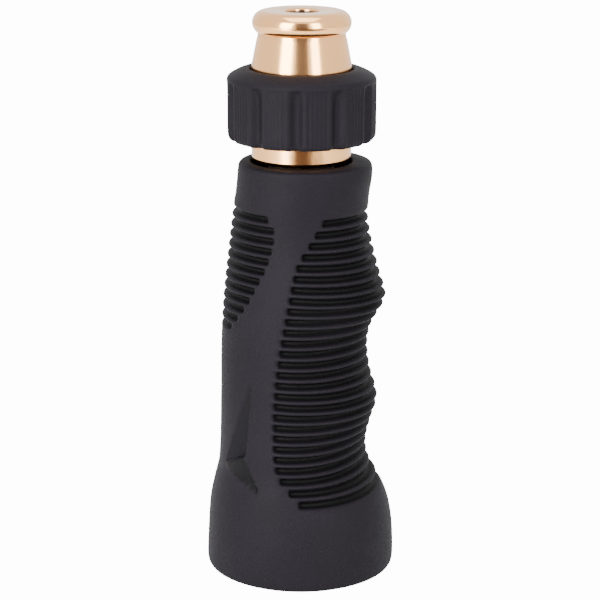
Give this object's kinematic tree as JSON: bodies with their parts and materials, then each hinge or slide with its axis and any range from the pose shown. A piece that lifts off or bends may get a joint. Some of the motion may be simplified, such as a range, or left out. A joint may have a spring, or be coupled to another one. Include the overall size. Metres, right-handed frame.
{
  "type": "hose spray nozzle",
  "caption": "Twist-type hose spray nozzle: brass barrel with a rubber collar that screws along a stem in a ribbed, flared rubber grip.",
  "frame": {"origin": "centre of the flat ring that the flared base stands on", "axes": "+Z along the nozzle towards the spray orifice, +X towards the finger side of the grip"},
  "size_m": [0.0514, 0.0514, 0.1516],
  "materials": {
    "brass": "satin, warm rose tone",
    "grip_rubber": "matt moulded rubber",
    "seal_rubber": "smooth",
    "nylon": "moulded",
    "spring_steel": "bright wire"
  },
  "bodies": {
    "handle": {"grip_sleeve": "grip_rubber", "core_tube": "nylon", "hose_coupling": "brass", "coupling_oring": "seal_rubber", "hose_washer": "seal_rubber", "stem": "brass", "stem_base_oring": "seal_rubber", "stem_seal_oring": "seal_rubber", "flow_plug": "brass", "plug_oring": "seal_rubber"},
    "slider": {"retaining_clip": "spring_steel"},
    "barrel": {"barrel": "brass", "twist_ring": "grip_rubber"}
  },
  "joints": [
    {"name": "barrel_travel", "type": "slide", "parent": "handle", "child": "slider", "axis": [0, 0, 1], "range_m": [-0.005, 0.002]},
    {"name": "barrel_twist", "type": "hinge", "parent": "slider", "child": "barrel", "pos_m": [0, 0, 0.1132], "axis": [0, 0, 1], "range_deg": [-360, 144]}
  ],
  "couplings": [
    {"joint": "barrel_twist", "follows": "barrel_travel", "rad_per_m": 1256.6}
  ]
}
